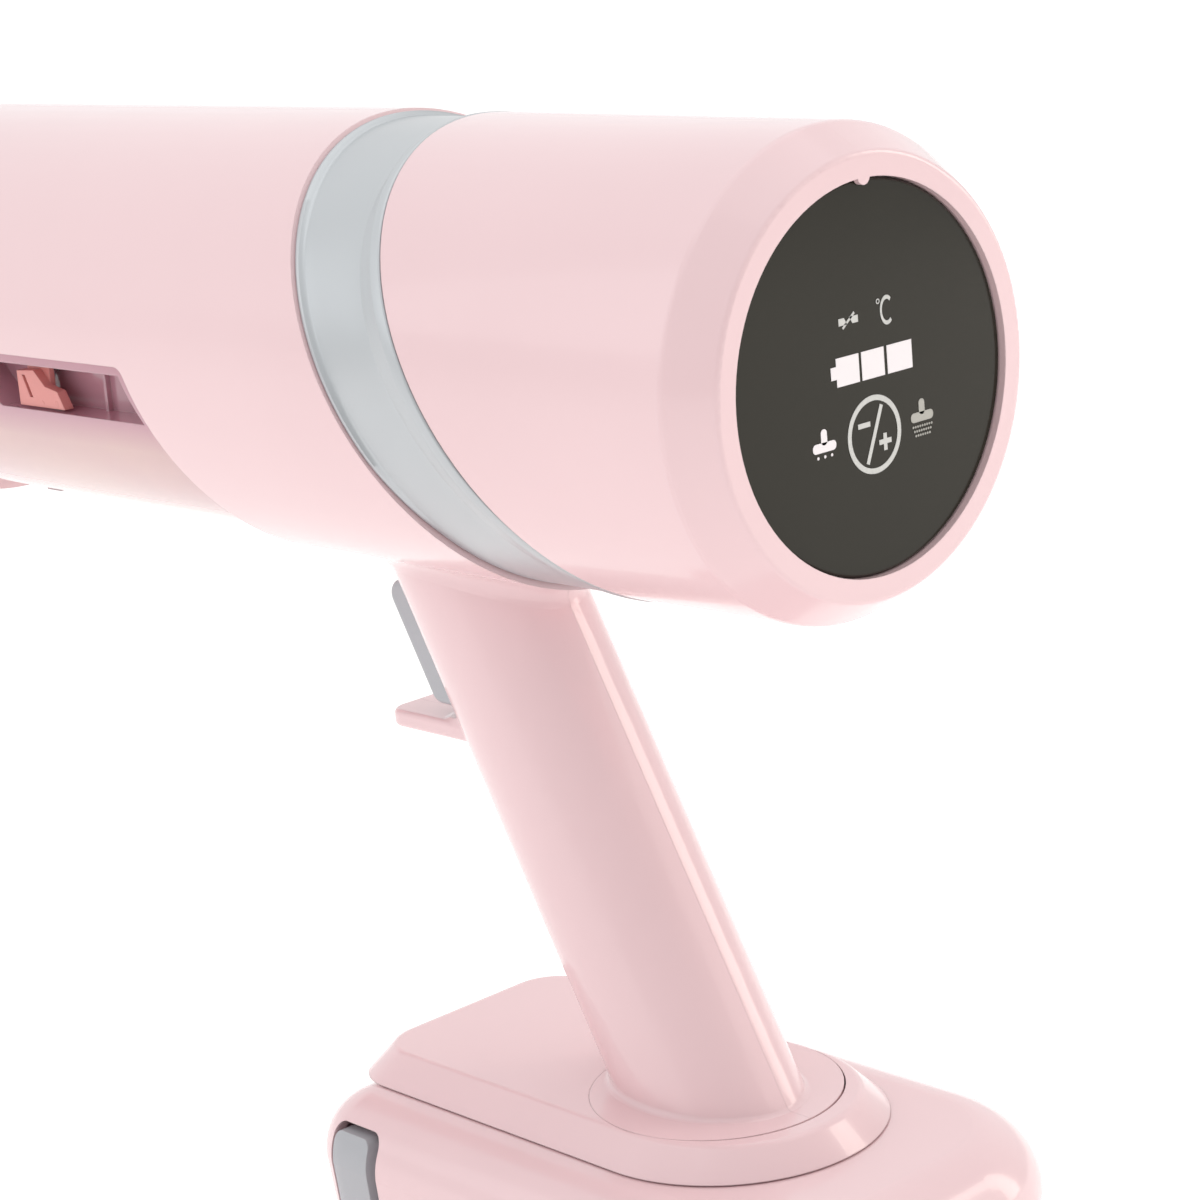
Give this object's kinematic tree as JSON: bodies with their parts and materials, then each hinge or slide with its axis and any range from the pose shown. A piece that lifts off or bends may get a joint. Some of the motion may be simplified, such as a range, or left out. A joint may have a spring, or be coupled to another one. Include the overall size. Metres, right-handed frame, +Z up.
{
  "type": "garment steamer",
  "caption": "Cordless pistol-grip garment steamer with a round barrel, rear display, lift-off water tank, front steam plate and a slide-on battery pack it stands on.",
  "frame": {"origin": "centre of the battery pack's flat underside, on the table", "axes": "+X towards the display at the rear, -X towards the steam plate, +Z up, the middle plane is Y = 0"},
  "size_m": [0.322, 0.118, 0.2484],
  "materials": {
    "pink": "glossy moulded ABS, pale pink",
    "silver": "satin silver paint on a moulded ring",
    "lens": "dark tinted acrylic lens",
    "board": "circuit board, green mask",
    "pump": "black moulded pump",
    "cast_block": "die cast, raw",
    "inner_plastic": "black nylon",
    "silicone": "translucent silicone",
    "steel": "plated",
    "lead": "insulated copper wire",
    "grey": "satin grey ABS",
    "tank": "tinted translucent plastic",
    "plug": "grey silicone",
    "salmon": "salmon moulded ABS",
    "plate": "polished, hard coated",
    "cell": null
  },
  "bodies": {
    "housing": {"boiler": "cast_block", "control_board": "board", "display_board": "board", "display_lens": "lens", "foot_cradle": "pink", "foot_screws": "steel", "head_gasket": "silicone", "head_housing": "pink", "head_mount": "pink", "housing_screws": "steel", "left_housing": "pink", "power_leads": "lead", "pressure_hose": "silicone", "rear_cap": "pink", "right_housing": "pink", "steam_chamber": "inner_plastic", "steam_plate": "plate", "steam_tube": "steel", "suction_hose": "silicone", "tank_seal": "silicone", "tank_valve": "inner_plastic", "terminal_block": "inner_plastic", "trigger_pin": "steel", "trigger_spring": "steel", "trigger_switch": "inner_plastic", "trim_ring": "silver", "water_pump": "pump"},
    "trigger": {"trigger": "grey"},
    "tank": {"water_tank": "tank", "latch_spring_left": "steel", "latch_spring_right": "steel"},
    "latch_left": {"tank_latch_left": "salmon"},
    "latch_right": {"tank_latch_right": "salmon"},
    "plug": {"tank_plug": "plug"},
    "pack": {"pack_top": "pink", "pack_bottom": "pink", "pack_screws": "steel", "battery_cells": "cell", "cell_holder": "inner_plastic", "pack_board": "board", "pack_terminals": "inner_plastic", "button_spring_left": "steel", "button_spring_right": "steel"},
    "button_left": {"release_button_left": "grey"},
    "button_right": {"release_button_right": "grey"}
  },
  "joints": [
    {"name": "trigger_press", "type": "hinge", "parent": "housing", "child": "trigger", "pos_m": [-0.05814, 0, 0.15518], "axis": [0, -1, 0], "range_deg": [0, 7.5], "stiffness_Nm_per_rad": 0.6, "springref_deg": -20.05, "deforming": ["trigger_spring"]},
    {"name": "tank_lift_off", "type": "slide", "parent": "housing", "child": "tank", "axis": [0, 0, -1], "range_m": [0, 0.045]},
    {"name": "latch_left_press", "type": "slide", "parent": "tank", "child": "latch_left", "axis": [0, 1, 0], "range_m": [0, 0.0016], "stiffness_N_per_m": 350, "springref_m": -0.0016, "deforming": ["latch_spring_left"]},
    {"name": "latch_right_press", "type": "slide", "parent": "tank", "child": "latch_right", "axis": [0, -1, 0], "range_m": [0, 0.0016], "stiffness_N_per_m": 350, "springref_m": -0.0016, "deforming": ["latch_spring_right"]},
    {"name": "plug_pull", "type": "slide", "parent": "tank", "child": "plug", "axis": [0, 0, -1], "range_m": [0, 0.012]},
    {"name": "pack_slide", "type": "slide", "parent": "housing", "child": "pack", "axis": [1, 0, 0], "range_m": [0, 0.1]},
    {"name": "button_left_press", "type": "slide", "parent": "pack", "child": "button_left", "axis": [0, 1, 0], "range_m": [0, 0.0025], "stiffness_N_per_m": 500, "springref_m": -0.002, "deforming": ["button_spring_left"]},
    {"name": "button_right_press", "type": "slide", "parent": "pack", "child": "button_right", "axis": [0, -1, 0], "range_m": [0, 0.0025], "stiffness_N_per_m": 500, "springref_m": -0.002, "deforming": ["button_spring_right"]}
  ]
}
